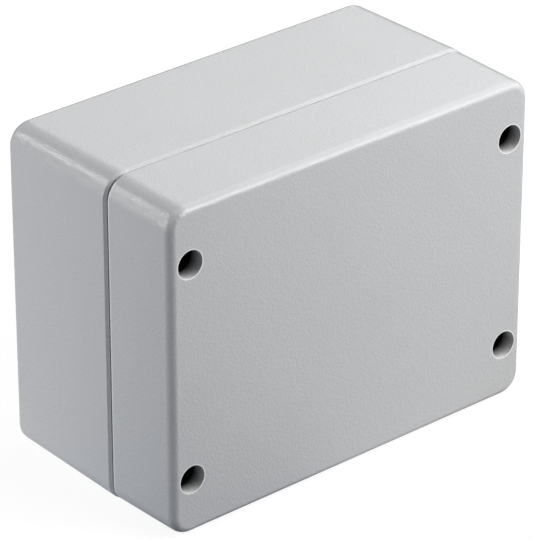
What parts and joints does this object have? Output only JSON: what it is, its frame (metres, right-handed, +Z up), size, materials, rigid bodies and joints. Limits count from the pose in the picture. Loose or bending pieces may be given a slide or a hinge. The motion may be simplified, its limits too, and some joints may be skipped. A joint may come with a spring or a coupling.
{
  "type": "die cast aluminium box",
  "caption": "Powder coated die cast aluminium enclosure with a deep sealed lid on captive sunk screws, hidden wall fixing holes, board pillars and an inner earth terminal.",
  "frame": {"origin": "centre of the flat back face, the face that goes against a wall", "axes": "+X along the width, +Z up as the box stands on a long side, +Y out of the back face, so the lid faces -Y"},
  "size_m": [0.129, 0.0695, 0.1],
  "materials": {
    "powder_coat": "satin light grey powder coat with a fine orange peel, over die cast aluminium",
    "stainless_steel": "turned stainless steel",
    "nylon": "natural nylon",
    "seal_rubber": "black rubber cord"
  },
  "bodies": {
    "body": {"body_casting": "powder_coat", "earth_screw": "stainless_steel", "earth_clamp": "stainless_steel", "earth_lock_washer": "stainless_steel"},
    "lid": {"lid_casting": "powder_coat", "seal": "seal_rubber", "retaining_washer_1": "nylon", "retaining_washer_2": "nylon", "retaining_washer_3": "nylon", "retaining_washer_4": "nylon"},
    "screw_1": {"lid_screw_1": "stainless_steel"},
    "screw_2": {"lid_screw_2": "stainless_steel"},
    "screw_3": {"lid_screw_3": "stainless_steel"},
    "screw_4": {"lid_screw_4": "stainless_steel"}
  },
  "joints": [
    {"name": "lid_off", "type": "slide", "parent": "body", "child": "lid", "axis": [0, -1, 0], "range_m": [0, 0.09]},
    {"name": "screw_1_turn", "type": "hinge", "parent": "lid", "child": "screw_1", "pos_m": [-0.057, -0.05, 0.0325], "axis": [0, -1, 0], "continuous": true},
    {"name": "screw_2_turn", "type": "hinge", "parent": "lid", "child": "screw_2", "pos_m": [0.057, -0.05, 0.0325], "axis": [0, -1, 0], "continuous": true},
    {"name": "screw_3_turn", "type": "hinge", "parent": "lid", "child": "screw_3", "pos_m": [0.057, -0.05, -0.0325], "axis": [0, -1, 0], "continuous": true},
    {"name": "screw_4_turn", "type": "hinge", "parent": "lid", "child": "screw_4", "pos_m": [-0.057, -0.05, -0.0325], "axis": [0, -1, 0], "continuous": true}
  ]
}
